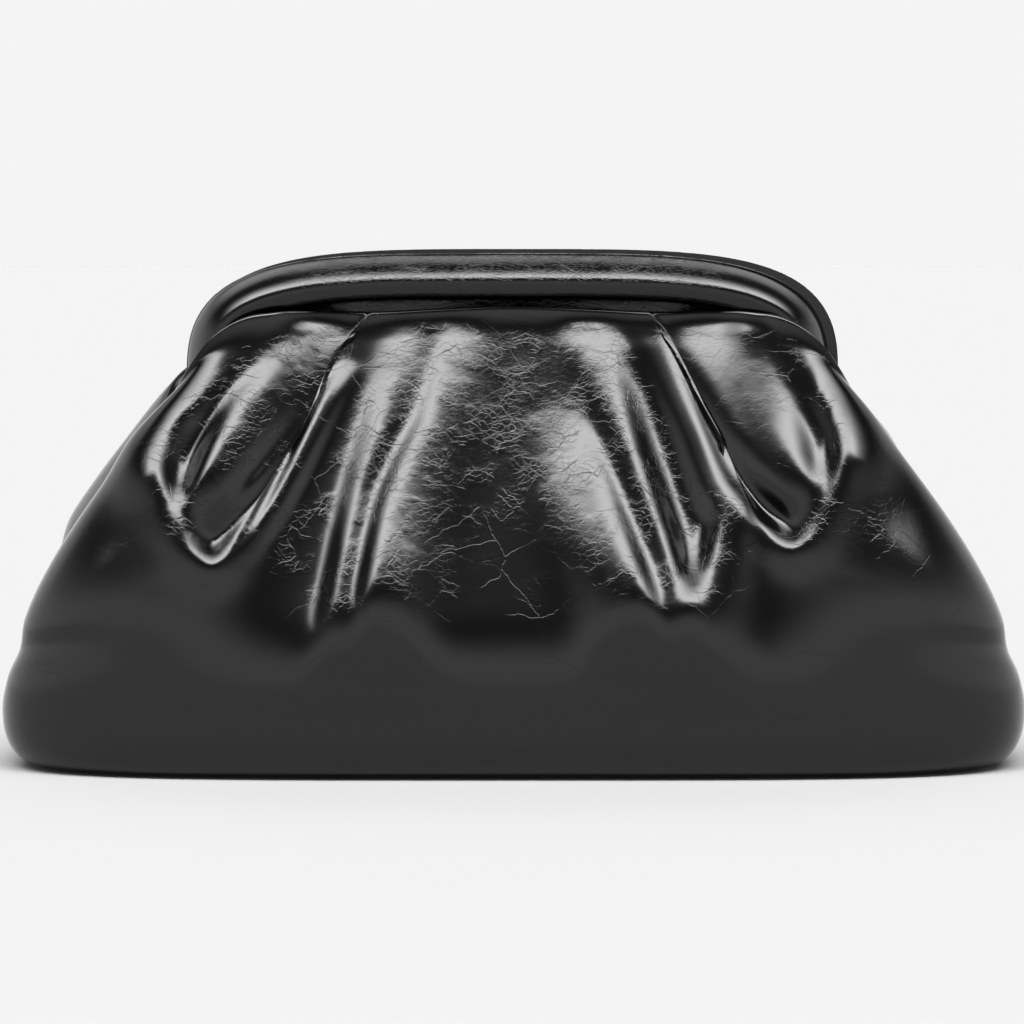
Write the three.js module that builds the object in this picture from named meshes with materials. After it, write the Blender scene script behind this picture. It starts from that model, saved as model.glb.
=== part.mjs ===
// A black leather frame clutch: a soft pleated pouch hung from a padded arch frame.
// Millimetres, +Z up, the front faces -Y, and the bag stands on its flat base at z = 0.
import * as THREE from 'three';
import { LoftGeometry } from 'three/addons/geometries/LoftGeometry.js';

// Pouch sizes
const HALF_WIDTH = 155;
const HALF_DEPTH = 54;
const BELLY_HEIGHT = 17;
const BASE_INSET = 14;
const BASE_ROUNDNESS = 2.8;
const GIRTH_POWER = 3.6;
const LEATHER = 1.8;
const SEAM_GAP = 0.3;
const BOTTOM_SEAM_HALF = 134;

// Fullness of the wall between the frame and the belly, at the middle and at the sides
const FULLNESS_MIDDLE = 1.9;
const FULLNESS_SIDE = 1.75;

// Tuck between the front and back lobes at each side seam
const SIDE_TUCK = 6;
const SIDE_TUCK_WIDTH = 14;

// Frame sizes
const FRAME_HALF_SPAN = 90.8;
const FRAME_END_HEIGHT = 112;
const FRAME_TOP = 147;
const FRAME_POWER = 3.8;
const ROLL_HALF_HEIGHT = 7;
const ROLL_HALF_DEPTH = 5.55;
const FRAME_GAP = 0.6;
const SKIRT_DROP = 8;
const SKIRT_FRONT = 4.6;
const SKIRT_BACK = 3.0;
const FRONT_FRAME_SHIFT = -1.6;
const BACK_FRAME_SHIFT = 0.8;
const BACK_FRAME_LIFT = 1.2;

// Hinge barrels at the frame's ends
const HINGE_RADIUS = 4.5;
const HINGE_LENGTH = 20;
const HINGE_SIDES = 16;
const HINGE_GAP = 0.3;

// Facets
const PANEL_COLUMNS = 56;
const COLUMN_CROWDING = 0.35;
const WALL_ROWS = 13;
const UNDER_ROWS = 3;
const FRAME_STEPS = 30;
const ROLL_SIDES = 11;
const QUAD_CORNERS = 6;
const PATH_SAMPLES = 48;
const ARC_DIVISIONS = 800;

// Crest of a panel's top edge, from the middle of the bag to the side seam
const EDGE_ROWS = [
  { x: 0, depth: 10.4, z: 138.2 },
  { x: 24, depth: 10.4, z: 137.3 },
  { x: 43, depth: 10.4, z: 136.4 },
  { x: 60, depth: 10.8, z: 137.0 },
  { x: 71, depth: 13.0, z: 136.6 },
  { x: 80, depth: 15.0, z: 135.2 },
  { x: 88, depth: 15.6, z: 130.8 },
  { x: 94, depth: 15.2, z: 124.0 },
  { x: 99, depth: 13.0, z: 115.5 },
  { x: 105, depth: SEAM_GAP / 2, z: 103.0 },
];

// Radius of the soft rolled edge, in front of the skirt and where it lies over the roll
const EDGE_RADIUS = 5;
const EDGE_RADIUS_SIDE = 2.4;
const EDGE_RADIUS_FROM = 54;
const EDGE_RADIUS_TO = 76;
const EDGE_ANGLES = [200, 145, 90, 35];

// Folds of a panel, seen from its own front: a path in x and z, with the height of the fold
// out of the wall (hollows are negative) and its half width, at the start and at the end
const FOLD_ROWS = [
  { name: 'left_hollow', path: [[-62, 127], [-81, 104], [-90, 74]], height: [-2, -6], width: [11, 12] },
  { name: 'left_rib', path: [[-60, 128], [-79, 106], [-92, 82]], height: [2, 2.5], width: [6, 6] },
  { name: 'left_pleat', path: [[-42, 134], [-58, 110], [-80, 72]], height: [2, 4], width: [6, 6] },
  { name: 'left_shoulder', path: [[-100, 112], [-112, 92], [-104, 74]], height: [2, 2], width: [9, 8] },
  { name: 'left_strip', path: [[-43, 128], [-58, 95], [-63, 75]], height: [-2, -2], width: [7, 8] },
  { name: 'middle_left_ridge', path: [[-34, 126], [-43, 100], [-55, 50]], height: [3, 2], width: [6, 6] },
  { name: 'middle_left_hollow', path: [[-30, 112], [-43, 82], [-50, 48]], height: [-3, -5], width: [6, 7] },
  { name: 'middle_left_swell', path: [[-19, 131], [-25, 94], [-42, 54]], height: [2, 2], width: [10, 9] },
  { name: 'middle_right_swell', path: [[12, 104], [22, 78], [36, 52]], height: [2, 2], width: [10, 9] },
  { name: 'middle_right_crease', path: [[20, 113], [31, 87], [44, 50]], height: [-2, -3], width: [6, 6] },
  { name: 'middle_right_ridge', path: [[23, 131], [34, 95], [50, 48]], height: [3, 3], width: [6, 6] },
  { name: 'right_valley', path: [[35, 124], [47, 94], [53, 56]], height: [-4, -6], width: [7, 7] },
  { name: 'right_pleat', path: [[41, 134], [55, 104], [68, 76]], height: [3, 4], width: [6, 6] },
  { name: 'right_hollow', path: [[51, 130], [63, 103], [76, 77]], height: [-4, -6], width: [7, 8] },
  { name: 'right_rib', path: [[62, 130], [72, 110], [85, 90]], height: [2, 2], width: [8, 7] },
  { name: 'right_channel', path: [[81, 126], [90, 104], [87, 80]], height: [-3, -5], width: [6, 7] },
  { name: 'right_shoulder', path: [[98, 110], [101, 92], [98, 76]], height: [2, 3], width: [8, 8] },
];

// The back panel's extra fullness where it shows past the front panel
const BACK_LOBE = {
  name: 'lobe',
  path: [[104, 112], [119, 95], [133, 75]],
  height: [3, 4],
  width: [14, 14],
};

const FOLD_FADE = 0.1;

const { degToRad, lerp, smoothstep } = THREE.MathUtils;

// Half of a rounded rectangle with no straight stretch: x across, y as its height
class Arch extends THREE.Curve {
  constructor(halfSpan, rise, power) {
    super();
    this.halfSpan = halfSpan;
    this.rise = rise;
    this.power = power;
    this.arcLengthDivisions = ARC_DIVISIONS;
  }

  getPoint(t, target = new THREE.Vector2()) {
    const angle = Math.PI * (1 - t);
    const across = Math.cos(angle);
    const up = Math.abs(Math.sin(angle));
    const share = 2 / this.power;
    const x = this.halfSpan * Math.sign(across) * Math.abs(across) ** share;
    return target.set(x, this.rise * up ** share);
  }
}

// One fold as a smooth path across the front view
function makeFold(row) {
  const spline = new THREE.SplineCurve(row.path.map(([x, z]) => new THREE.Vector2(x, z)));
  return { ...row, samples: spline.getSpacedPoints(PATH_SAMPLES) };
}

// How far one fold lifts the wall at a place in the front view
function foldHeight(fold, x, z) {
  let nearest = Infinity;
  let along = 0;
  fold.samples.forEach((sample, index) => {
    const distance = Math.hypot(sample.x - x, sample.y - z);
    if (distance < nearest) {
      nearest = distance;
      along = index / PATH_SAMPLES;
    }
  });
  const width = lerp(fold.width[0], fold.width[1], along);
  const height = lerp(fold.height[0], fold.height[1], along);
  return height * Math.exp(-((nearest / width) ** 2));
}

// Outward normals of a grid of points in columns
function gridNormals(grid) {
  const lastColumn = grid.length - 1;
  return grid.map((column, i) => column.map((point, j) => {
    const lastRow = column.length - 1;
    const right = grid[Math.min(i + 1, lastColumn)][j];
    const left = grid[Math.max(i - 1, 0)][j];
    const lower = column[Math.min(j + 1, lastRow)];
    const upper = column[Math.max(j - 1, 0)];
    const across = right.clone().sub(left);
    const down = lower.clone().sub(upper);
    return down.cross(across).normalize();
  }));
}

// A solid through sections that are rings of points, with the facets of its right half
// split the other way, so that both halves follow their folds alike
function loftSolid(sections, capped) {
  const loft = new LoftGeometry(sections, { capStart: capped, capEnd: capped });
  const corners = loft.index.array;
  const rings = sections.length - 1;
  for (let quad = (rings / 2) * sections[0].length; quad < rings * sections[0].length; quad += 1) {
    const first = quad * QUAD_CORNERS;
    const [a, b, d, , c] = corners.slice(first, first + QUAD_CORNERS);
    corners.set([a, b, c, a, c, d], first);
  }
  return new THREE.BufferGeometry().copy(loft);
}

// One upright section of the smooth pouch wall: rolled edge, wall, turn under and base
function wallSection(edgePoint, girthPoint, side) {
  const reach = new THREE.Vector2(girthPoint.x - edgePoint.x, girthPoint.y + edgePoint.y);
  const length = reach.length();
  const outward = reach.divideScalar(length);
  const sideShare = smoothstep(Math.abs(edgePoint.x), EDGE_RADIUS_FROM, EDGE_RADIUS_TO);
  const radius = lerp(EDGE_RADIUS, EDGE_RADIUS_SIDE, sideShare);
  const place = (out, z) => new THREE.Vector3(
    edgePoint.x + outward.x * out,
    edgePoint.y - outward.y * out,
    z,
  );
  const points = EDGE_ANGLES.map((degrees) => {
    const angle = degToRad(degrees);
    return place(radius * Math.cos(angle), edgePoint.z - radius + radius * Math.sin(angle));
  });
  const startOut = radius * Math.cos(degToRad(EDGE_ANGLES.at(-1)));
  const startHeight = points.at(-1).z;
  const fullness = lerp(FULLNESS_MIDDLE, FULLNESS_SIDE, Math.abs(side));
  for (let row = 1; row <= WALL_ROWS; row += 1) {
    const share = 1 - row / WALL_ROWS;
    const out = lerp(length, startOut, share ** fullness);
    points.push(place(out, lerp(BELLY_HEIGHT, startHeight, share)));
  }
  for (let row = 1; row <= UNDER_ROWS; row += 1) {
    const angle = (Math.PI / 2) * (row / UNDER_ROWS);
    const inset = BASE_INSET * (1 - Math.max(Math.cos(angle), 0) ** (2 / BASE_ROUNDNESS));
    const drop = row === UNDER_ROWS ? 1 : Math.sin(angle) ** (2 / BASE_ROUNDNESS);
    points.push(place(length - inset, BELLY_HEIGHT * (1 - drop)));
  }
  points.push(new THREE.Vector3(side * BOTTOM_SEAM_HALF, 0, 0));
  return points;
}

// A leather panel: half of the pouch, as a wall of even thickness seen from its own front
function panelGeometry(foldRows) {
  const folds = foldRows.map(makeFold);
  const halfEdge = EDGE_ROWS.map(({ x, depth, z }) => new THREE.Vector3(x, -depth, z));
  const mirror = new THREE.Vector3(-1, 1, 1);
  const otherHalf = halfEdge.slice(1).reverse().map((point) => point.clone().multiply(mirror));
  const edge = new THREE.CatmullRomCurve3([...otherHalf, ...halfEdge]);
  const girth = new Arch(HALF_WIDTH, HALF_DEPTH, GIRTH_POWER);
  const smooth = [];
  for (let column = 0; column <= PANEL_COLUMNS; column += 1) {
    const even = (2 * column) / PANEL_COLUMNS - 1;
    const side = even - (COLUMN_CROWDING * Math.sin(Math.PI * even)) / Math.PI;
    const t = THREE.MathUtils.clamp((1 + side) / 2, 0, 1);
    smooth.push(wallSection(edge.getPointAt(t), girth.getPointAt(t), side));
  }
  const onSeam = (i, j) => i === 0 || i === PANEL_COLUMNS || j === smooth[0].length - 1;
  const toSeam = (point, seam) => {
    point.y = seam ? -SEAM_GAP / 2 : Math.min(point.y, -SEAM_GAP / 2);
    return point;
  };
  const smoothNormals = gridNormals(smooth);
  const outer = smooth.map((column, i) => column.map((point, j) => {
    const underEdge = (column[EDGE_ANGLES.length - 1].z - point.z) / column[0].z;
    const fade = smoothstep(underEdge, 0, FOLD_FADE);
    const lift = folds.reduce((sum, fold) => sum + foldHeight(fold, point.x, point.z), 0);
    const moved = point.clone().addScaledVector(smoothNormals[i][j], fade * lift);
    const tuck = SIDE_TUCK * fade * Math.exp(-((point.y / SIDE_TUCK_WIDTH) ** 2));
    const above = smoothstep(point.z, BELLY_HEIGHT, 2 * BELLY_HEIGHT);
    moved.x -= Math.sign(point.x) * tuck * above;
    return toSeam(moved, onSeam(i, j));
  }));
  const outerNormals = gridNormals(outer);
  const inner = outer.map((column, i) => column.map((point, j) => {
    const moved = point.clone().addScaledVector(outerNormals[i][j], -LEATHER);
    return toSeam(moved, onSeam(i, j));
  }));
  const ring = (outside, inside) => [...outside, ...inside.slice().reverse()];
  const closedEnd = (i) => {
    const middle = outer[i].map((point, j) => point.clone().lerp(inner[i][j], 0.5));
    return ring(middle, middle);
  };
  const sections = outer.map((column, i) => ring(column, inner[i]));
  return loftSolid([closedEnd(0), ...sections, closedEnd(PANEL_COLUMNS)], false);
}

// A frame half: the padded roll over the bar, with the skirt that a panel is sewn to
function frameGeometry() {
  const arch = new Arch(FRAME_HALF_SPAN, FRAME_TOP - FRAME_END_HEIGHT, FRAME_POWER);
  const rollMiddle = -(FRAME_GAP / 2 + ROLL_HALF_DEPTH);
  const skirtAngle = (depth) => -Math.acos((-depth - rollMiddle) / ROLL_HALF_DEPTH);
  const firstAngle = skirtAngle(SKIRT_BACK);
  const lastAngle = skirtAngle(SKIRT_FRONT) + 2 * Math.PI;
  const profile = [];
  for (let side = 0; side <= ROLL_SIDES; side += 1) {
    const angle = lerp(firstAngle, lastAngle, side / ROLL_SIDES);
    profile.push({
      y: rollMiddle + ROLL_HALF_DEPTH * Math.cos(angle),
      out: ROLL_HALF_HEIGHT * Math.sin(angle),
    });
  }
  const hem = -ROLL_HALF_HEIGHT - SKIRT_DROP;
  profile.push({ y: -SKIRT_FRONT, out: hem }, { y: -SKIRT_BACK, out: hem });
  const sections = [];
  for (let step = 0; step <= FRAME_STEPS; step += 1) {
    const middle = arch.getPointAt(step / FRAME_STEPS);
    const along = arch.getTangentAt(step / FRAME_STEPS);
    sections.push(profile.map(({ y, out }) => new THREE.Vector3(
      middle.x - along.y * out,
      y,
      FRAME_END_HEIGHT + middle.y + along.x * out,
    )));
  }
  return loftSolid(sections, true);
}

const leather = new THREE.MeshStandardMaterial({ color: 0x1c1c1d, roughness: 0.25, metalness: 0 });
const steel = new THREE.MeshStandardMaterial({ color: 0x2a2a2b, roughness: 0.4, metalness: 1 });

const clutch = new THREE.Group();

function addPiece(name, geometry, material) {
  const piece = new THREE.Mesh(geometry, material);
  piece.name = name;
  clutch.add(piece);
  return piece;
}

addPiece('pouch_front', panelGeometry(FOLD_ROWS), leather);
const pouchBack = addPiece('pouch_back', panelGeometry([...FOLD_ROWS, BACK_LOBE]), leather);
pouchBack.rotation.z = Math.PI;

const frameFront = addPiece('frame_front', frameGeometry(), leather);
frameFront.position.x = FRONT_FRAME_SHIFT;
const frameBack = addPiece('frame_back', frameGeometry(), leather);
frameBack.rotation.z = Math.PI;
frameBack.position.set(BACK_FRAME_SHIFT, 0, BACK_FRAME_LIFT);

for (const [name, side] of [['hinge_left', -1], ['hinge_right', 1]]) {
  const barrel = new THREE.CylinderGeometry(HINGE_RADIUS, HINGE_RADIUS, HINGE_LENGTH, HINGE_SIDES);
  const hinge = addPiece(name, barrel, steel);
  hinge.position.set(side * FRAME_HALF_SPAN, 0, FRAME_END_HEIGHT - HINGE_GAP - HINGE_RADIUS);
}

export default clutch;
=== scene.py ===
# %% [markdown]
# # A pleated leather frame clutch
# The bag is a soft pouch of two leather panels that hangs from a padded arch frame.
# The imported solids come in first as a fixed frame, and each visible piece is then made
# in the same place, in metres.

# %% Load the imported part
import math
from collections import namedtuple

import bpy
import numpy as np
from mathutils import Matrix


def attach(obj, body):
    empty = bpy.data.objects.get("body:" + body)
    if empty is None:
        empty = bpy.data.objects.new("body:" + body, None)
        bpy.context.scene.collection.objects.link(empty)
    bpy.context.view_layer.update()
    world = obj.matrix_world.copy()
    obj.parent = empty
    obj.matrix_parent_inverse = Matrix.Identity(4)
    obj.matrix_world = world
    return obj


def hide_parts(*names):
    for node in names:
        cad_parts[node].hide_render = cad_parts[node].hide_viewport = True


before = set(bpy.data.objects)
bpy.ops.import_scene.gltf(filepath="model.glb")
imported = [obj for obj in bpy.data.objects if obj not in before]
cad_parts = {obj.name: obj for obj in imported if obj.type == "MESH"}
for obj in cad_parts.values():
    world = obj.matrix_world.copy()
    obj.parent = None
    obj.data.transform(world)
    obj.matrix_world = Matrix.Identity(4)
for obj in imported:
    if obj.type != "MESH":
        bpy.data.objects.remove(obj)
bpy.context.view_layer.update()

MM = 0.001

# %% [markdown]
# ## Two helpers
# Colours are read as the hex values a designer would pick, and Blender wants them linear.
# Every node tree below, for materials, light and geometry, is built by one small function
# that adds a node, sets its values and links its inputs.


# %% Helpers for colours and nodes
def linear(hex_code):
    """A colour such as "1c1c1d" as linear red, green, blue and alpha."""
    channels = [int(hex_code[place:place + 2], 16) / 255 for place in (0, 2, 4)]
    return [c / 12.92 if c <= 0.04045 else ((c + 0.055) / 1.055) ** 2.4 for c in channels] + [1.0]


def add(tree, kind, inputs=None, **settings):
    """Adds a node with its settings; inputs holds a value or an output to link, by socket."""
    made = tree.nodes.new(kind)
    for name, value in settings.items():
        setattr(made, name, value)
    for socket, value in (inputs or {}).items():
        if isinstance(value, bpy.types.NodeSocket):
            tree.links.new(value, made.inputs[socket])
        else:
            made.inputs[socket].default_value = value
    return made


print("leather black is", [round(c, 4) for c in linear("050505")[:3]])

# %% [markdown]
# ## Camera
# The picture was taken from the front, a little above the bag, with a long lens, so the
# base is nearly a straight line. The camera looks at the middle of the bag.

# %% Camera
VIEW_DISTANCE = 1.4
VIEW_ELEVATION = math.radians(4.5)
VIEW_TARGET = (-0.0005, 0.0, 0.0752)
LENS_MM = 161.6
SENSOR_MM = 36.0

camera_data = bpy.data.cameras.new("view_camera")
camera_data.lens = LENS_MM
camera_data.sensor_width = SENSOR_MM
camera = bpy.data.objects.new("view_camera", camera_data)
camera.location = (
    VIEW_TARGET[0],
    VIEW_TARGET[1] - VIEW_DISTANCE * math.cos(VIEW_ELEVATION),
    VIEW_TARGET[2] + VIEW_DISTANCE * math.sin(VIEW_ELEVATION),
)
camera.rotation_euler = (math.pi / 2 - VIEW_ELEVATION, 0.0, 0.0)
bpy.context.scene.collection.objects.link(camera)
bpy.context.scene.camera = camera
bpy.context.scene.view_settings.view_transform = "Standard"
print("camera at", [round(c, 3) for c in camera.location])

# %% [markdown]
# ## Studio
# Black polished leather shows little but reflections, so the light is the look. A pale low
# surround gives the belly its even grey, a dark band above it leaves the steep parts black,
# and a wide soft box overhead draws the bright folds. A weaker box does so for the back.
# Lamps could do this too. Here it is all in the world, so the light is as even on the far
# floor as under the bag, and the floor keeps one tone.

# %% Studio light
SURROUND_LIGHT = 1.1
DARK_BAND_LIGHT = 0.05
SOFT_BOX_LIGHT = 16.0
SURROUND_TOP = (0.62, 0.2)
SOFT_BOX_FRONT = (51.0, 58.0)
SOFT_BOX_BACK = (98.0, 60.0)
SOFT_BOX_SIDE = (0.8, 0.38)
REAR_BOX_LIGHT = 2.0
REAR_BOX_TOP = (112.0, 122.0)
REAR_BOX_LOW = (142.0, 132.0)
BACKDROP_TOP = (0.75, 0.3)
BACKDROP_FROM = (0.1, 0.5)
SIDE_FILL_LIGHT = 0.12
SIDE_FILL_FROM = (0.70, 1.0)
BACKGROUND = "f4f4f4"

world = bpy.data.worlds.new("studio")
bpy.context.scene.world = world
world.use_nodes = True
sky = world.node_tree
sky.nodes.clear()
direction = add(sky, "ShaderNodeTexCoord").outputs["Generated"]
axes = add(sky, "ShaderNodeSeparateXYZ", {"Vector": direction}).outputs
light = {"x": axes["X"], "y": axes["Y"], "z": axes["Z"]}
for label, operation, *values in (
    ("side", "ABSOLUTE", "x"),
    ("facing", "MULTIPLY", "y", -1.0),
    ("turn", "ARCTAN2", "z", "facing"),
    ("degrees", "DEGREES", "turn"),
):
    inputs = {place: light.get(value, value) for place, value in enumerate(values)}
    light[label] = add(sky, "ShaderNodeMath", inputs, operation=operation).outputs[0]
for label, value, limits in (
    ("front", "degrees", SOFT_BOX_FRONT),
    ("back", "degrees", SOFT_BOX_BACK),
    ("rear_top", "degrees", REAR_BOX_TOP),
    ("rear_low", "degrees", REAR_BOX_LOW),
    ("sides", "side", SOFT_BOX_SIDE),
    ("low", "z", SURROUND_TOP),
    ("behind_top", "z", BACKDROP_TOP),
    ("behind", "y", BACKDROP_FROM),
    ("fill", "side", SIDE_FILL_FROM),
):
    limits = {"Value": light[value], "From Min": limits[0], "From Max": limits[1]}
    eased = add(sky, "ShaderNodeMapRange", limits, interpolation_type="SMOOTHSTEP")
    light[label] = eased.outputs["Result"]
for label, operation, *values in (
    ("box", "MULTIPLY", "front", "back"),
    ("box", "MULTIPLY", "box", "sides"),
    ("rear", "MULTIPLY", "rear_top", "rear_low"),
    ("rear", "MULTIPLY", "rear", "sides"),
    ("backdrop", "MULTIPLY", "behind_top", "behind"),
    ("low", "MAXIMUM", "low", "backdrop"),
    ("level", "MULTIPLY_ADD", "low", SURROUND_LIGHT, DARK_BAND_LIGHT),
    ("level", "MULTIPLY_ADD", "fill", SIDE_FILL_LIGHT, "level"),
    ("level", "MULTIPLY_ADD", "box", SOFT_BOX_LIGHT, "level"),
    ("level", "MULTIPLY_ADD", "rear", REAR_BOX_LIGHT, "level"),
):
    inputs = {place: light.get(value, value) for place, value in enumerate(values)}
    light[label] = add(sky, "ShaderNodeMath", inputs, operation=operation).outputs[0]
studio_light = add(sky, "ShaderNodeBackground", {"Color": linear("ffffff"), "Strength": light["level"]})
plain_back = add(sky, "ShaderNodeBackground", {"Color": linear(BACKGROUND), "Strength": 1.0})
seen = add(sky, "ShaderNodeLightPath").outputs["Is Camera Ray"]
mixed = add(sky, "ShaderNodeMixShader", {0: seen, 1: studio_light.outputs[0], 2: plain_back.outputs[0]})
add(sky, "ShaderNodeOutputWorld", {"Surface": mixed.outputs[0]})
print("studio light has", len(sky.nodes), "nodes")

# %% [markdown]
# The bag stands on a wide sheet of uncoated paper. A plain disc is enough for it, set a hair
# lower than the base so that the two faces don't lie in one plane.

# %% Floor
FLOOR_PAPER = "9d9d9d"
FLOOR_RADIUS = 6.0
FLOOR_SIDES = 96
FLOOR_DROP = 0.0003

# Matt paper, so that the floor shows only the soft shadow of the bag.
paper = bpy.data.materials.new("studio_paper")
paper.use_nodes = True
paper_shader = paper.node_tree.nodes["Principled BSDF"]
paper_shader.inputs["Base Color"].default_value = linear(FLOOR_PAPER)
paper_shader.inputs["Roughness"].default_value = 1.0
paper_shader.inputs["Specular IOR Level"].default_value = 0.0
bpy.ops.mesh.primitive_circle_add(vertices=FLOOR_SIDES, radius=FLOOR_RADIUS, fill_type="NGON")
floor = bpy.context.object
floor.name = "floor"
floor.data.transform(Matrix.Translation((0, 0, -FLOOR_DROP)))
floor.data.materials.append(paper)
print("floor radius", FLOOR_RADIUS, "m")

# %% [markdown]
# ## Leather
# The bag is full-grain cowhide finished with oil and wax and then polished: nearly black,
# with a mirror-like top coat. Where it was gathered and bent, the finish broke into a fine
# crackle, and a few longer creases run through it; where it was left flat it is smooth.
# A picture of leather could be wrapped round the bag. Noise and cell patterns in the node
# tree need no wrapping, and every length in them is a real one in millimetres. Only the
# grain is drawn coarser than a hide's, because it would be too fine to show. Two values kept
# on the mesh, crackle and wrinkle, say how much a place was bent.

# %% Leather
LEATHER_BLACK = "050505"
LEATHER_ROUGHNESS = 0.15
LEATHER_IOR = 1.45
WARP_LENGTH = 5.0
WARP_AMOUNT = 3.2
WARP_DETAIL = 3.0
NOISE_DETAIL = 2.0
NOISE_MIDDLE = 0.5
PATCH_LENGTH = 9.0
SCAR_PATCH_LENGTH = 34.0
PATCH_EDGE = (0.38, 0.62)
SCAR_PATCH_EDGE = (0.50, 0.60)
WRINKLE_LINE = (0.50, 0.43)
WRINKLE_DEPTH = 0.006
GRAIN_LENGTH = 0.55
GRAIN_DEPTH = 0.007

Crack = namedtuple("Crack", "cell line depth where")
CRACKS = (
    Crack(2.0, 0.08, 0.018, "crackle"),
    Crack(8.0, 0.02, 0.036, "crackle"),
    Crack(17.0, 0.006, 0.016, "scar"),
)


def waxed_leather(name, wrinkle_size):
    """Polished black leather; wrinkle_size is how long its fine wrinkles are along x, y, z, in mm."""
    material = bpy.data.materials.new(name)
    material.use_nodes = True
    tree = material.node_tree
    place = add(tree, "ShaderNodeTexCoord").outputs["Object"]
    in_mm = {0: place, 1: (1 / MM,) * 3}
    place = add(tree, "ShaderNodeVectorMath", in_mm, operation="MULTIPLY").outputs[0]
    warp = {"Vector": place, "Scale": 1 / WARP_LENGTH, "Detail": WARP_DETAIL}
    warp = {0: add(tree, "ShaderNodeTexNoise", warp).outputs["Color"], 1: (WARP_AMOUNT,) * 3, 2: place}
    bent = add(tree, "ShaderNodeVectorMath", warp, operation="MULTIPLY_ADD").outputs[0]
    drawn = add(tree, "ShaderNodeVectorMath", {0: bent, 1: wrinkle_size}, operation="DIVIDE").outputs[0]
    found = {}
    for label, where, length in (
        ("patch", place, PATCH_LENGTH),
        ("scar", place, SCAR_PATCH_LENGTH),
        ("wrinkle_line", drawn, 1.0),
        ("grain", bent, GRAIN_LENGTH),
    ):
        noise = {"Vector": where, "Scale": 1 / length, "Detail": NOISE_DETAIL}
        found[label] = add(tree, "ShaderNodeTexNoise", noise).outputs["Fac"]
    for label in ("crackle", "wrinkle"):
        found[label] = add(tree, "ShaderNodeAttribute", attribute_name=label).outputs["Fac"]
    for number, crack in enumerate(CRACKS):
        cells = {"Vector": bent, "Scale": 1 / crack.cell}
        cells = add(tree, "ShaderNodeTexVoronoi", cells, feature="DISTANCE_TO_EDGE")
        found["crack", number] = cells.outputs["Distance"]
    half = {0: found["wrinkle_line"], 1: NOISE_MIDDLE}
    found["wrinkle_line"] = add(tree, "ShaderNodeMath", half, operation="PINGPONG").outputs[0]
    edges = [("patch", PATCH_EDGE), ("scar", SCAR_PATCH_EDGE), ("wrinkle_line", WRINKLE_LINE)]
    edges += [(("crack", number), (0.0, crack.line)) for number, crack in enumerate(CRACKS)]
    for label, limits in edges:
        limits = {"Value": found[label], "From Min": limits[0], "From Max": limits[1]}
        eased = add(tree, "ShaderNodeMapRange", limits, interpolation_type="SMOOTHSTEP")
        found[label] = eased.outputs["Result"]
    sums = [
        ("crackle", "MULTIPLY", "crackle", "patch"),
        ("height", "MULTIPLY", "grain", GRAIN_DEPTH),
        ("wrinkle", "MULTIPLY", "wrinkle", "wrinkle_line"),
        ("height", "MULTIPLY_ADD", "wrinkle", WRINKLE_DEPTH, "height"),
    ]
    for number, crack in enumerate(CRACKS):
        sums.append(("deep", "MULTIPLY", ("crack", number), crack.where))
        sums.append(("height", "MULTIPLY_ADD", "deep", crack.depth, "height"))
    for label, operation, *values in sums:
        inputs = {k: found.get(value, value) for k, value in enumerate(values)}
        found[label] = add(tree, "ShaderNodeMath", inputs, operation=operation).outputs[0]
    bump = add(tree, "ShaderNodeBump", {"Height": found["height"], "Strength": 1.0, "Distance": MM})
    shader = tree.nodes["Principled BSDF"]
    tree.links.new(bump.outputs["Normal"], shader.inputs["Normal"])
    shader.inputs["Base Color"].default_value = linear(LEATHER_BLACK)
    shader.inputs["Roughness"].default_value = LEATHER_ROUGHNESS
    shader.inputs["IOR"].default_value = LEATHER_IOR
    return material


# A black mirror with fine breaks: the gathers catch the light in soft bands.
pouch_leather = waxed_leather("waxed_cowhide", (1.8, 1.8, 1.4))
# The same hide, stretched over padding: one long highlight, creased along the middle.
frame_leather = waxed_leather("waxed_cowhide_roll", (1.8, 1.6, 1.6))
print("leathers", pouch_leather.name, frame_leather.name)

# %% [markdown]
# The hinge barrels are steel, turned and then blackened in a bath. So little of them shows
# that a dark metal is enough, with a mottling that is drawn coarser than the real one.

# %% Steel for the hinges
STEEL_DARK = "2b2b2c"
STEEL_PALE = "3c3c3d"
STEEL_ROUGHNESS = 0.35
STEEL_MOTTLES_PER_METRE = 900.0

# Blackened steel: a dull dark glint between the side folds, faintly mottled.
steel = bpy.data.materials.new("blackened_steel")
steel.use_nodes = True
steel_tree = steel.node_tree
steel_place = add(steel_tree, "ShaderNodeTexCoord").outputs["Object"]
mottle = {"Vector": steel_place, "Scale": STEEL_MOTTLES_PER_METRE, "Detail": WARP_DETAIL}
mottle = add(steel_tree, "ShaderNodeTexNoise", mottle).outputs["Fac"]
shades = {0: mottle, 6: linear(STEEL_DARK), 7: linear(STEEL_PALE)}
shade = add(steel_tree, "ShaderNodeMix", shades, data_type="RGBA").outputs[2]
steel_shader = steel_tree.nodes["Principled BSDF"]
steel_tree.links.new(shade, steel_shader.inputs["Base Color"])
steel_shader.inputs["Metallic"].default_value = 1.0
steel_shader.inputs["Roughness"].default_value = STEEL_ROUGHNESS
print("materials", [material.name for material in bpy.data.materials])

# %% [markdown]
# ## The shape of a panel
# A panel starts at a rolled edge under the frame, swells out to the belly and turns under to
# the seam at the bottom. It could be sculpted, or draped by a cloth simulation, but the folds
# of this bag lie in set places. So the smooth wall is worked out from a few sizes, nearly the
# same as the solids have, and the folds are laid on it afterwards.

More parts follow.
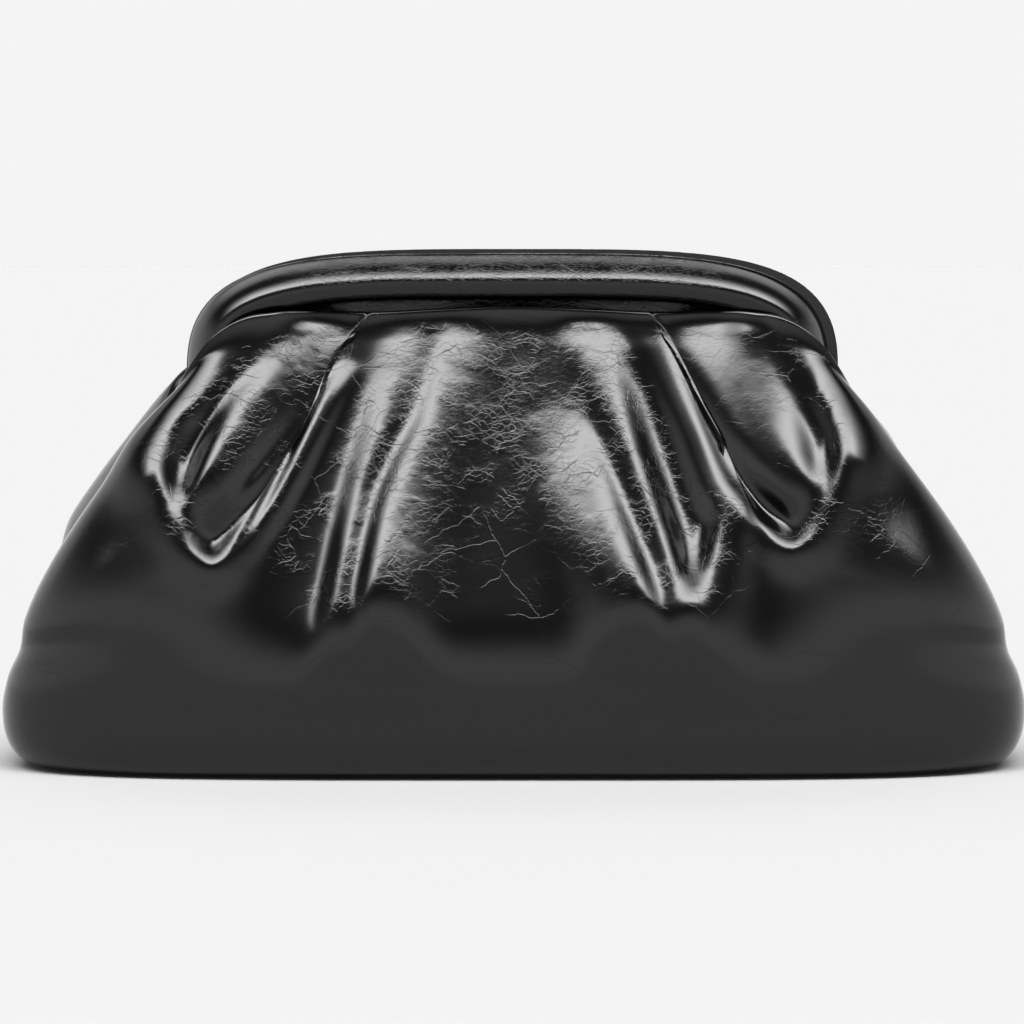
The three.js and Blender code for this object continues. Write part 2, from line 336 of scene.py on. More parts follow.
# %% Sizes of the smooth pouch, in millimetres
HALF_WIDTH = 155.0
HALF_DEPTH = 54.0
BELLY_HEIGHT = 17.0
BASE_INSET = 14.0
BASE_ROUNDNESS = 4.2
BASE_ROUNDNESS_SIDE = 2.4
GIRTH_POWER = 3.6
SEAM_GAP = 0.06
BOTTOM_SEAM_HALF = 134.0
FULLNESS_SIDE = 1.75
SLOPE_AT_EDGE = 0.2
SLOPE_FULL_FROM = 0.08
BELLY_TURN_MIDDLE = (0.70, 0.97)
BELLY_TURN_FLANK = (0.48, 0.84)
FLANK_BLEND = (0.36, 0.60)
EDGE_RADIUS = 1.2
EDGE_RADIUS_SIDE = 2.4
EDGE_RADIUS_FROM = (54.0, 76.0)
EDGE_ANGLES = (200.0, 35.0)

EdgePoint = namedtuple("EdgePoint", "x depth z")
EDGE_ROWS = [
    EdgePoint(0, 6.6, 138.2),
    EdgePoint(24, 6.6, 137.3),
    EdgePoint(43, 6.6, 136.4),
    EdgePoint(60, 7.6, 137.0),
    EdgePoint(71, 12.2, 136.6),
    EdgePoint(80, 14.2, 135.2),
    EdgePoint(88, 14.8, 130.8),
    EdgePoint(94, 14.8, 124.0),
    EdgePoint(99, 13.0, 115.5),
    EdgePoint(105, SEAM_GAP / 2, 103.0),
]
print("half of the rolled edge has", len(EDGE_ROWS), "points")

# %% [markdown]
# A table gives only a few points. These helpers draw a smooth curve through them and spread
# points evenly along it, and the two lines that carry the wall are drawn with them: the
# rolled edge at the top and the girth of the belly.

# %% Curves through points
CURVE_STEPS = 40
LINE_SAMPLES = 2000


def mix(a, b, share):
    return a + (b - a) * share


def soft_step(value, low, high):
    share = np.clip((value - low) / (high - low), 0, 1)
    return share * share * (3 - 2 * share)


def smooth_curve(points, count):
    """Evenly spaced points on a curve that passes smoothly through all the given ones."""
    p = np.asarray(points, float)
    p = np.vstack([2 * p[0] - p[1], p, 2 * p[-1] - p[-2]])
    step = np.sqrt(np.linalg.norm(np.diff(p, axis=0), axis=1))
    t = np.linspace(0, 1, CURVE_STEPS, endpoint=False)[:, None]
    pieces = []
    for i in range(1, len(p) - 2):
        before, here, after = step[i - 1], step[i], step[i + 1]
        chord = (p[i + 1] - p[i]) / here
        slope_in = (p[i] - p[i - 1]) / before - (p[i + 1] - p[i - 1]) / (before + here) + chord
        slope_out = chord - (p[i + 2] - p[i]) / (here + after) + (p[i + 2] - p[i + 1]) / after
        start, end = slope_in * here, slope_out * here
        bend = 2 * p[i] - 2 * p[i + 1] + start + end
        lean = -3 * p[i] + 3 * p[i + 1] - 2 * start - end
        pieces.append(p[i] + start * t + lean * t**2 + bend * t**3)
    dense = np.vstack(pieces + [p[-2:-1]])
    return even_points(dense, count)


def even_points(dense, count):
    length = np.concatenate([[0], np.cumsum(np.linalg.norm(np.diff(dense, axis=0), axis=1))])
    places = np.linspace(0, length[-1], count)
    return np.stack([np.interp(places, length, axis) for axis in dense.T], axis=1)


def arch_points(half_span, rise, power):
    """Half of a rounded rectangle, from left to right, as evenly spaced points."""
    angle = np.pi * (1 - np.linspace(0, 1, 4 * LINE_SAMPLES))
    across = np.cos(angle)
    x = half_span * np.sign(across) * np.abs(across) ** (2 / power)
    y = rise * np.abs(np.sin(angle)) ** (2 / power)
    return even_points(np.stack([x, y], axis=1), LINE_SAMPLES)


half_edge = [(e.x, e.depth, e.z) for e in EDGE_ROWS]
EDGE_LINE = smooth_curve([(-x, d, z) for x, d, z in half_edge[:0:-1]] + half_edge, LINE_SAMPLES)
GIRTH_LINE = arch_points(HALF_WIDTH, HALF_DEPTH, GIRTH_POWER)
LINE_SHARES = np.linspace(0, 1, LINE_SAMPLES)
print("edge line from", EDGE_LINE[0].round(1), "to", EDGE_LINE[-1].round(1))

# %% [markdown]
# The smooth wall is laid out as a grid: columns run from side seam to side seam, rows run
# from the rolled edge down to the bottom seam. Each place in the grid needs two numbers,
# its share along the panel and its row, so the columns can later be bent to follow a pleat.

# %% How the wall swells and turns under
EDGE_STEPS = 9
WALL_STEPS = 152
UNDER_STEPS = 28
BASE_STEPS = 9
ROWS = EDGE_STEPS + WALL_STEPS + UNDER_STEPS + BASE_STEPS + 1
SIDE_BLEND = (0.55, 0.95)
SWELL_PLACES = np.linspace(0, 1, 400)
TURN_SAMPLES = 4000


def turn_under(roundness):
    """Steps from the belly down and in to the flat base, as inset and fall."""
    angle = np.linspace(0, np.pi / 2, TURN_SAMPLES)
    steps = np.stack([1 - np.cos(angle) ** (2 / roundness), np.sin(angle) ** (2 / roundness)], axis=1)
    return even_points(steps * (BASE_INSET, -BELLY_HEIGHT), UNDER_STEPS + 1)


UNDER_FRONT = turn_under(BASE_ROUNDNESS)
UNDER_SIDE = turn_under(BASE_ROUNDNESS_SIDE)


def swell_shares(turn):
    """How far out the wall is on its way from edge to belly: steep, then sloping, then upright."""
    slope = mix(SLOPE_AT_EDGE, 1.0, soft_step(SWELL_PLACES, 0, SLOPE_FULL_FROM))
    slope *= 1 - soft_step(SWELL_PLACES, *turn)
    return np.cumsum(slope) / slope.sum()


SWELL_MIDDLE = swell_shares(BELLY_TURN_MIDDLE)
SWELL_FLANK = swell_shares(BELLY_TURN_FLANK)
print("rows from edge to seam:", ROWS)

# %% [markdown]
# Row by row, the wall goes round the rolled edge, down and out to the belly, in under it and
# across the base to the seam. The sides keep a rounder swell than the front.

# %% The smooth wall
NO_LENGTH = 1e-9


def smooth_wall(t):
    """Places of the smooth wall for shares t, an array of columns by ROWS."""
    edge = np.stack([np.interp(t, LINE_SHARES, axis) for axis in EDGE_LINE.T], axis=-1)
    girth = np.stack([np.interp(t, LINE_SHARES, axis) for axis in GIRTH_LINE.T], axis=-1)
    reach = girth - edge[..., :2]
    length = np.linalg.norm(reach, axis=-1)
    outward = reach / length[..., None]
    share = soft_step(np.abs(edge[..., 0]), *EDGE_RADIUS_FROM)
    radius = mix(EDGE_RADIUS, EDGE_RADIUS_SIDE, share)
    sideways = soft_step(np.abs(2 * t - 1), *SIDE_BLEND)
    flank = soft_step(np.abs(2 * t - 1), *FLANK_BLEND)
    out = np.zeros_like(t)
    z = np.zeros_like(t)
    last_angle = math.radians(EDGE_ANGLES[1])
    start_out = radius * math.cos(last_angle)
    start_z = edge[..., 2] - radius + radius * math.sin(last_angle)
    for j in range(ROWS):
        if j <= EDGE_STEPS:
            angle = math.radians(mix(EDGE_ANGLES[0], EDGE_ANGLES[1], j / EDGE_STEPS))
            out[:, j] = radius[:, j] * math.cos(angle)
            z[:, j] = edge[:, j, 2] - radius[:, j] + radius[:, j] * math.sin(angle)
        elif j <= EDGE_STEPS + WALL_STEPS:
            left = 1 - (j - EDGE_STEPS) / WALL_STEPS
            middle_swell = np.interp(1 - left, SWELL_PLACES, SWELL_MIDDLE)
            flank_swell = np.interp(1 - left, SWELL_PLACES, SWELL_FLANK)
            swell = mix(middle_swell, flank_swell, flank[:, j])
            swell = mix(swell, 1 - left**FULLNESS_SIDE, sideways[:, j])
            out[:, j] = mix(start_out[:, j], length[:, j], swell)
            z[:, j] = mix(BELLY_HEIGHT, start_z[:, j], left)
        else:
            step = min(j - EDGE_STEPS - WALL_STEPS, UNDER_STEPS)
            inset, fall = mix(UNDER_FRONT[step], UNDER_SIDE[step], sideways[:, j, None]).T
            out[:, j] = length[:, j] - inset
            z[:, j] = BELLY_HEIGHT + fall
    x = edge[..., 0] + outward[..., 0] * out
    y = -edge[..., 1] - outward[..., 1] * out
    first_base = EDGE_STEPS + WALL_STEPS + UNDER_STEPS
    for j in range(first_base, ROWS):
        share = (j - first_base) / BASE_STEPS
        x[:, j] = mix(x[:, j], (2 * t[:, j] - 1) * BOTTOM_SEAM_HALF, share)
        y[:, j] = mix(y[:, j], 0.0, share)
    return np.stack([x, y, z], axis=-1)


def grid_normals(grid):
    """Outward directions of a grid of points in columns."""
    across, down = np.gradient(grid, axis=(0, 1))
    normal = np.cross(down, across)
    return normal / np.maximum(np.linalg.norm(normal, axis=-1, keepdims=True), NO_LENGTH)


even_wall = smooth_wall(np.repeat(np.linspace(0, 1, 3)[:, None], ROWS, axis=1))
print("the middle of the front stands out to", even_wall[1, :, 1].min().round(1), "mm")

# %% [markdown]
# ## Pleats, hollows and gathers
# The panel is wider than the frame, so the extra leather is laid over in two pleats and the
# rest gathers into soft ridges that die out on the belly. Under each pleat lies a hollow
# that ends in a rounded lip, and the lip is what catches the light. The folds are short
# tables: a path seen from the front, how far the leather stands out there, and how wide.

# %% Tables of folds, in millimetres seen from the front
Lip = namedtuple("Lip", "x z soft rim tuck")
Hollow = namedtuple("Hollow", "name lip")
FoldPoint = namedtuple("FoldPoint", "x z height left right")
Fold = namedtuple("Fold", "name path within", defaults=(None,))

HOLLOWS = [
    Hollow("left_hollow", [
        Lip(-74.0, 132.0, 8.0, 0.0, 0.0),
        Lip(-85.0, 120.0, 6.0, 0.0, 0.0),
        Lip(-97.0, 109.0, 5.0, 0.3, 0.0),
        Lip(-104.0, 100.0, 5.0, 0.8, 0.0),
        Lip(-106.0, 91.0, 5.0, 1.5, 0.0),
        Lip(-103.6, 81.0, 6.0, 1.6, 0.0),
        Lip(-100.0, 72.5, 7.0, 1.8, 0.0),
        Lip(-95.0, 65.2, 8.0, 2.0, 0.0),
        Lip(-89.2, 61.9, 8.0, 2.0, 0.0),
        Lip(-83.9, 64.6, 7.0, 1.8, 0.6),
        Lip(-78.9, 72.5, 4.5, 1.4, 1.6),
        Lip(-67.4, 91.0, 2.0, 0.8, 2.4),
        Lip(-59.7, 104.2, 1.8, 0.6, 2.8),
        Lip(-51.0, 123.0, 1.6, 0.4, 2.8),
        Lip(-41.6, 137.5, 1.6, 0.3, 2.0),
    ]),
    Hollow("right_hollow", [
        Lip(39.7, 137.5, 1.6, 0.3, 2.0),
        Lip(46.5, 125.0, 1.6, 0.4, 2.8),
        Lip(54.9, 107.9, 1.8, 0.6, 2.8),
        Lip(61.2, 95.4, 2.0, 0.8, 2.4),
        Lip(66.8, 83.0, 2.5, 1.0, 2.0),
        Lip(72.5, 73.0, 5.0, 1.4, 1.2),
        Lip(77.0, 68.5, 7.0, 1.8, 0.5),
        Lip(82.5, 66.6, 8.0, 2.0, 0.0),
        Lip(88.5, 69.9, 8.0, 2.0, 0.0),
        Lip(92.5, 76.5, 7.0, 1.8, 0.0),
        Lip(95.5, 85.0, 6.0, 1.6, 0.0),
        Lip(97.5, 95.0, 5.0, 1.5, 0.0),
        Lip(96.5, 105.0, 5.0, 0.8, 0.0),
        Lip(91.5, 116.0, 6.0, 0.3, 0.0),
        Lip(82.0, 128.0, 8.0, 0.0, 0.0),
    ]),
]

FOLDS = [
    Fold("left_fat_rib", [
        FoldPoint(-52, 137, 0.0, 13, 15),
        FoldPoint(-59, 128, 1.6, 14, 15),
        FoldPoint(-69, 117, 3.3, 12, 15),
        FoldPoint(-78.5, 106, 5.1, 9, 14),
        FoldPoint(-85, 97, 6.7, 7, 13),
        FoldPoint(-90, 88, 7.9, 6, 12),
        FoldPoint(-93.5, 80, 6.9, 5.5, 10),
        FoldPoint(-95, 74, 3.6, 5, 8),
        FoldPoint(-95.5, 69, 0.5, 5, 6),
    ], "left_hollow"),
    Fold("left_thin_rib", [
        FoldPoint(-58, 108, 0.0, 3.5, 3.5),
        FoldPoint(-67, 95, 1.2, 4, 4),
        FoldPoint(-76, 84, 2.2, 4, 4),
        FoldPoint(-81, 77, 1.4, 4, 4),
        FoldPoint(-84, 72, 0.0, 4, 4),
    ], "left_hollow"),
    Fold("left_shoulder", [
        FoldPoint(-98, 114, 0.0, 8, 6),
        FoldPoint(-105, 104, 1.2, 10, 6),
        FoldPoint(-107, 96, 2.8, 11, 6),
        FoldPoint(-107, 88, 3.8, 12, 6),
        FoldPoint(-105, 79, 2.0, 13, 6),
        FoldPoint(-102, 68, 0.5, 13, 6),
        FoldPoint(-100, 58, 0.0, 13, 6),
    ]),
    Fold("left_pleat_line", [
        FoldPoint(-47, 122, 0.0, 2.5, 3),
        FoldPoint(-52, 112, 1.4, 2.5, 3),
        FoldPoint(-58, 100, 1.8, 2.5, 3),
        FoldPoint(-64, 88.5, 2.0, 2.5, 3),
        FoldPoint(-70, 78, 1.6, 2.5, 3),
        FoldPoint(-76, 69, 0.6, 2.5, 3),
        FoldPoint(-80, 63, 0.0, 2.5, 3),
    ]),
    Fold("left_gather", [
        FoldPoint(-25, 137, 0.0, 14, 14),
        FoldPoint(-26, 128, 0.9, 14, 14),
        FoldPoint(-28, 116, 1.8, 13, 14),
        FoldPoint(-31, 104, 2.4, 12, 14),
        FoldPoint(-37, 88, 2.9, 10, 16),
        FoldPoint(-42.5, 72, 3.4, 8.5, 18),
        FoldPoint(-46, 58, 3.8, 7.5, 20),
        FoldPoint(-48, 48, 3.7, 7.5, 22),
        FoldPoint(-49, 40, 2.4, 10, 24),
        FoldPoint(-50, 30, 1.0, 14, 26),
        FoldPoint(-50, 18, 0.0, 18, 28),
    ]),
    Fold("middle_left_ridge", [
        FoldPoint(-35, 137, 0.0, 7, 5),
        FoldPoint(-36, 128, 0.2, 7, 5),
        FoldPoint(-38, 116, 0.4, 6, 5),
        FoldPoint(-41, 104, 0.7, 5, 4.5),
        FoldPoint(-46.5, 84, 1.0, 4.5, 4),
        FoldPoint(-50, 66, 1.4, 4.5, 3.5),
        FoldPoint(-52, 54, 1.6, 4.5, 3.5),
        FoldPoint(-53, 46, 1.2, 5, 4),
        FoldPoint(-53.5, 39, 0.6, 6, 5),
        FoldPoint(-54, 30, 0.0, 8, 6),
    ]),
    Fold("middle_left_valley", [
        FoldPoint(-24, 132, 0.0, 3.5, 3.5),
        FoldPoint(-25.5, 122, -0.9, 3.5, 3.5),
        FoldPoint(-30, 106, -1.1, 3.5, 3.5),
        FoldPoint(-37, 92, -1.2, 3.5, 3.5),
        FoldPoint(-42, 80, -1.3, 3.5, 3.5),
        FoldPoint(-46, 62, -1.6, 3.5, 3.5),
        FoldPoint(-47.8, 50, -1.6, 3.5, 3.5),
        FoldPoint(-48.5, 44, -1.0, 3.5, 3.5),
        FoldPoint(-49, 37, 0.0, 3.5, 3.5),
    ]),
    Fold("middle_left_swell", [
        FoldPoint(-16, 137, 0.0, 8, 8),
        FoldPoint(-16.5, 128, 0.5, 8, 8),
        FoldPoint(-18, 116, 0.9, 9, 9),
        FoldPoint(-20, 106, 1.2, 10, 10),
        FoldPoint(-26, 92, 1.8, 10, 13),
        FoldPoint(-32, 78, 2.7, 10, 14),
        FoldPoint(-36.5, 64, 3.6, 9, 15),
        FoldPoint(-39.5, 53, 4.1, 8, 15),
        FoldPoint(-41.5, 45, 3.4, 8, 16),
        FoldPoint(-43, 38, 1.6, 9, 17),
        FoldPoint(-44, 30, 0.0, 10, 18),
    ]),
    Fold("right_gather", [
        FoldPoint(20, 137, 0.0, 9, 16),
        FoldPoint(22, 128, 1.1, 9, 15),
        FoldPoint(25, 116, 1.8, 10, 11),
        FoldPoint(28.5, 104, 2.3, 12, 10),
        FoldPoint(32, 90, 2.8, 16, 10),
        FoldPoint(37, 74, 3.2, 20, 10.5),
        FoldPoint(42, 60, 3.5, 21, 11),
        FoldPoint(46, 49, 3.5, 22, 11),
        FoldPoint(48.5, 41, 2.2, 22, 12),
        FoldPoint(50, 32, 0.9, 22, 15),
        FoldPoint(50, 18, 0.0, 24, 18),
    ]),
    Fold("middle_right_swell", [
        FoldPoint(9, 108, 0.0, 8, 8),
        FoldPoint(13, 98, 0.6, 10, 9),
        FoldPoint(17, 90, 1.3, 12, 10),
        FoldPoint(20.5, 82, 2.0, 13, 11),
        FoldPoint(25.8, 70, 3.1, 14, 11),
        FoldPoint(32, 58, 4.1, 15, 10),
        FoldPoint(37, 49, 4.2, 16, 9),
        FoldPoint(40, 42, 2.6, 16, 9),
        FoldPoint(42, 35, 1.0, 17, 10),
        FoldPoint(43, 28, 0.0, 18, 12),
    ]),
    Fold("middle_right_crease", [
        FoldPoint(18, 124, 0.0, 4, 4),
        FoldPoint(20, 114, -0.4, 4, 4),
        FoldPoint(25.5, 100, -0.8, 3.5, 3.5),
        FoldPoint(31.5, 85, -1.2, 3.5, 3.5),
        FoldPoint(38.5, 66, -1.5, 3.5, 3.5),
        FoldPoint(43.2, 53, -1.4, 3.5, 3.5),
        FoldPoint(46.2, 45, -0.8, 3.5, 3.5),
        FoldPoint(48, 37, 0.0, 3.5, 3.5),
    ]),
    Fold("middle_right_ridge", [
        FoldPoint(20, 137, 0.0, 7, 7),
        FoldPoint(22, 128, 0.3, 7, 7),
        FoldPoint(26.5, 116, 0.7, 6, 6),
        FoldPoint(32, 101, 1.0, 5, 5),
        FoldPoint(38.4, 84, 1.3, 4.5, 4.5),
        FoldPoint(45.3, 66, 1.6, 4.5, 4.5),
        FoldPoint(48.8, 54.6, 1.8, 4.5, 4.5),
        FoldPoint(51, 46, 1.4, 5, 5),
        FoldPoint(52.5, 38, 0.6, 7, 7),
        FoldPoint(53, 30, 0.0, 9, 9),
    ]),
    Fold("right_valley", [
        FoldPoint(35, 124, 0.0, 6, 6),
        FoldPoint(39, 114, -0.8, 6, 6),
        FoldPoint(44, 100, -1.1, 6, 6),
        FoldPoint(48.8, 86, -1.3, 6, 7),
        FoldPoint(51.8, 69, -1.4, 5, 7),
        FoldPoint(53, 57, -1.3, 4.5, 5),
        FoldPoint(53, 50, -1.0, 4, 5),
        FoldPoint(53, 44, -0.5, 4, 4),
        FoldPoint(53, 38, 0.0, 4, 4),
    ]),
    Fold("right_ridge", [
        FoldPoint(36, 137, 0.0, 4, 3.5),
        FoldPoint(40, 128, 0.6, 4, 3.5),
        FoldPoint(45, 116, 1.4, 4, 3.5),
        FoldPoint(51, 102, 2.4, 4, 4),
        FoldPoint(57.5, 86, 3.6, 5, 5),
        FoldPoint(63, 75, 4.4, 6, 7),
        FoldPoint(61, 63, 4.8, 6, 10),
        FoldPoint(57.5, 53, 4.4, 6, 12),
        FoldPoint(55, 45, 2.6, 7, 15),
        FoldPoint(53.5, 37, 1.0, 9, 18),
        FoldPoint(53, 29, 0.3, 10, 22),
        FoldPoint(53, 18, 0.0, 10, 24),
    ]),
    Fold("right_flat_rib", [
        FoldPoint(54, 137, 0.0, 10, 20),
        FoldPoint(57, 127, 1.6, 9, 20),
        FoldPoint(62, 117, 3.3, 9, 18),
        FoldPoint(71, 102, 5.6, 11, 15),
        FoldPoint(79, 91, 7.2, 10, 11),
        FoldPoint(85, 82.5, 7.1, 7, 8),
        FoldPoint(87, 76, 3.6, 6, 6),
        FoldPoint(87.5, 71, 0.5, 5, 5),
    ], "right_hollow"),
    Fold("right_shoulder", [
        FoldPoint(93, 117, 0.0, 5, 7),
        FoldPoint(97, 109, 1.2, 5, 8),
        FoldPoint(99.5, 101, 2.8, 5, 10),
        FoldPoint(100, 92, 3.8, 5, 12),
        FoldPoint(98.5, 83, 2.2, 5, 13),
        FoldPoint(97, 72, 0.6, 5, 14),
        FoldPoint(95, 60, 0.0, 5, 14),
    ]),
]
for name, side in (("left_side_crease", -1), ("right_side_crease", 1)):
    FOLDS.append(Fold(name, [
        FoldPoint(side * 153, 36, -1.6, 5, 5),
        FoldPoint(side * 138, 38, -1.2, 6, 6),
        FoldPoint(side * 116, 42, -0.2, 8, 8),
    ]))
BACK_LOBE = Fold("lobe", [
    FoldPoint(104, 112, 3.0, 14, 14),
    FoldPoint(119, 95, 4.0, 14, 14),
    FoldPoint(133, 75, 4.0, 14, 14),
])

# %% [markdown]
# Each fold lifts the wall by its height on the path and dies away to both sides. To do that,
# a place needs its distance to the path, the side it is on, and how far along the path its
# nearest point is. The same function serves the lips of the hollows.

# %% From the tables to a lift of the wall
PATH_STEPS = 72
PATH_PASSES = 16
LIFT_PASSES = 2
FOLD_FADE = 6.0
RIDGE_POWER = 3.0
DENT_POWER = 2.0
RIM_WIDTH = 6.5
HOLLOW_DROP = (0.8, 4.2)
TUCK_WIDTH = 7.0
TUCK_UNDER = 0.6


def follow(path, x, z):
    """Distance from each place to a path, its side, and shares along it of the points and the place."""
    stops = np.array([(p.x, p.z) for p in path], float)
    line = smooth_curve(stops, PATH_STEPS + 1)
    marks = [np.argmin(np.linalg.norm(line - stop, axis=1)) / PATH_STEPS for stop in stops]
    best = np.full(x.shape, np.inf)
    side = np.zeros(x.shape)
    share = np.zeros(x.shape)
    for k in range(PATH_STEPS):
        (ax, az), (bx, bz) = line[k], line[k + 1]
        dx, dz = bx - ax, bz - az
        t = np.clip(((x - ax) * dx + (z - az) * dz) / (dx * dx + dz * dz), 0, 1)
        rx, rz = x - ax - t * dx, z - az - t * dz
        square = rx * rx + rz * rz
        near = square < best
        best = np.where(near, square, best)
        side = np.where(near, np.where((z - az) * dx - (x - ax) * dz > 0, 1.0, -1.0), side)
        share = np.where(near, (k + t) / PATH_STEPS, share)
    return np.sqrt(best), side, marks, share


def even_out(values):
    """One pass that draws each value halfway to the mean of its neighbours, with the ends kept."""
    values[1:-1] = 0.25 * values[:-2] + 0.5 * values[1:-1] + 0.25 * values[2:]


def along(path, column, marks, share):
    """A column of the table at shares of the path, without kinks at its points."""
    steps = np.linspace(0, 1, PATH_STEPS + 1)
    values = np.interp(steps, marks, [getattr(p, column) for p in path])
    for _ in range(PATH_PASSES):
        even_out(values)
    return np.interp(share, steps, values)


def fold_lift(fold, x, z):
    distance, side, marks, share = follow(fold.path, x, z)
    columns = ("height", "left", "right")
    height, left, right = (along(fold.path, column, marks, share) for column in columns)
    power = np.where(height > 0, RIDGE_POWER, DENT_POWER)
    return height * np.exp(-((distance / np.where(side < 0, left, right)) ** power))


def hollow_lift(hollow, x, z):
    """Lift at a hollow, how far its pleat is laid over, distance inside the lip, and how sunk it is."""
    distance, side, marks, share = follow(hollow.lip, x, z)
    soft, rim, laid = (along(hollow.lip, column, marks, share) for column in ("soft", "rim", "tuck"))
    inside = side * distance
    levels = [p.z for p in hollow.lip]
    drop = mix(HOLLOW_DROP[1], HOLLOW_DROP[0], soft_step(z, min(levels), max(levels)))
    sunk = np.where(inside > 0, 1 - np.exp(-((inside / soft) ** 2)), 0.0)
    reach = np.where(inside > 0, TUCK_UNDER * soft, TUCK_WIDTH)
    tuck = laid * np.exp(-((distance / reach) ** 2))
    return rim * np.exp(-((distance / RIM_WIDTH) ** 2)) - drop * sunk, tuck, inside, sunk


print(len(FOLDS), "folds and", len(HOLLOWS), "hollows")

# %% [markdown]
# ## Making a panel
# A pleat is a sharp fold, which needs a very fine grid, or else a grid that lies along it.
# Here the columns are bunched and bent so that one of them runs along each pleat.

# %% Columns along the pleats
COLUMNS = 330
PLEAT_COLUMNS = (-0.44, 0.42)
PLEAT_LINES = (
    ((-41.6, 140), (-51, 123), (-59.7, 104.2), (-67.4, 91), (-75, 78), (-84, 58), (-90, 35), (-92, 0)),
    ((39.7, 140), (46.5, 125), (54.9, 107.9), (61.2, 95.4), (68, 81), (76, 62), (82, 38), (84, 0)),
)
WIDTH_SAMPLES = 4001
WALL_SAMPLES = 801
PLEAT_SAMPLES = 200
PLEAT_BUNCHING = 3.0
PLEAT_BUNCH_WIDTH = 0.05


def column_shares():
    """Shares along the panel for columns by rows, with columns along the pleats."""
    even = np.linspace(-1, 1, WIDTH_SAMPLES)
    bunches = [np.exp(-(((even - s) / PLEAT_BUNCH_WIDTH) ** 2)) for s in PLEAT_COLUMNS]
    density = 1 + sum(PLEAT_BUNCHING * bunch for bunch in bunches)
    total = np.concatenate([[0], np.cumsum(0.5 * (density[1:] + density[:-1]))])
    columns = np.interp(np.linspace(0, total[-1], COLUMNS + 1), total, even)
    plain = np.repeat(np.linspace(0, 1, WALL_SAMPLES)[:, None], ROWS, axis=1)
    wall = smooth_wall(plain)
    shares = np.empty((COLUMNS + 1, ROWS))
    for row in range(ROWS):
        knots = [0.0]
        for path in PLEAT_LINES:
            line = smooth_curve(path, PLEAT_SAMPLES)[::-1]
            target = np.interp(wall[:, row, 2], line[:, 1], line[:, 0])
            gap = wall[:, row, 0] - target
            knots.append(float(np.interp(0.0, gap, plain[:, row])))
        shares[:, row] = np.interp(columns, (-1, *PLEAT_COLUMNS, 1), (*knots, 1.0))
    return shares


PANEL_SHARES = column_shares()
print("columns and rows of a panel:", PANEL_SHARES.shape)

# %% [markdown]
# How worn the finish is depends on where a place lies. It is smooth low on the belly, at the
# rolled edge and along the outside of the hollows, calm at the sides, low in the middle and
# in the right hollow, and broken everywhere else.

# %% How worn the leather is
SMOOTH_BELOW = (40.0, 56.0)
SMOOTH_SIDE = (50.0, 75.0)
SMOOTH_FADE = 16.0
EDGE_SMOOTH = (1.5, 6.0)
CALM_SIDE = (102.0, 122.0)
CALM_SIDE_SHARE = 0.7
WRINKLED_MIDDLE = (42.0, 74.0)
WRINKLED_FROM = (70.0, 102.0)
WRINKLE_LOW = 0.3
CALM_MIDDLE = (-4.0, 24.0)
CALM_BELOW = (66.0, 98.0)
CALM_MIDDLE_SHARE = 0.8
CALM_PANEL = 0.7


def wear_amounts(x, z, under_edge, strip, stretched):
    """How much the finish is crackled and wrinkled at each place."""
    below = mix(*SMOOTH_BELOW, soft_step(np.abs(x), *SMOOTH_SIDE))
    crackle = soft_step(z, below, below + SMOOTH_FADE) * soft_step(under_edge, *EDGE_SMOOTH) * strip
    crackle *= 1 - CALM_SIDE_SHARE * soft_step(np.abs(x), *CALM_SIDE)
    middle = np.exp(-(((x - CALM_MIDDLE[0]) / CALM_MIDDLE[1]) ** 2))
    crackle *= 1 - CALM_MIDDLE_SHARE * middle * (1 - soft_step(z, *CALM_BELOW))
    crackle *= 1 - CALM_PANEL * stretched
    wrinkle = crackle * (1 - soft_step(np.abs(x), *WRINKLED_MIDDLE))
    wrinkle *= mix(WRINKLE_LOW, 1, soft_step(z, *WRINKLED_FROM))
    return {"crackle": crackle, "wrinkle": wrinkle}


print("crackle starts", SMOOTH_BELOW, "mm up")

# %% [markdown]
# The wall gets its thickness from an inner grid, and the two are joined all round into one
# body. Solidify would copy every face. Nobody sees the inside, so the inner grid is coarser
# and has a ninth of the faces.

# %% From two grids to one piece of leather
INNER_EVERY = 3


def border(columns, rows, first):
    """Numbers of the points round a grid, in order."""
    top = [first + i * rows for i in range(columns)]
    right = [first + (columns - 1) * rows + j for j in range(rows)]
    bottom = [first + i * rows + rows - 1 for i in range(columns - 1, -1, -1)]
    left = [first + j for j in range(rows - 1, -1, -1)]
    return top[:-1] + right[:-1] + bottom[:-1] + left[:-1]


def quads(columns, rows, first, flipped):
    i, j = np.meshgrid(np.arange(columns - 1), np.arange(rows - 1), indexing="ij")
    a = first + i * rows + j
    corners = np.stack([a, a + 1, a + rows + 1, a + rows], axis=-1).reshape(-1, 4)
    return (corners[:, ::-1] if flipped else corners).tolist()


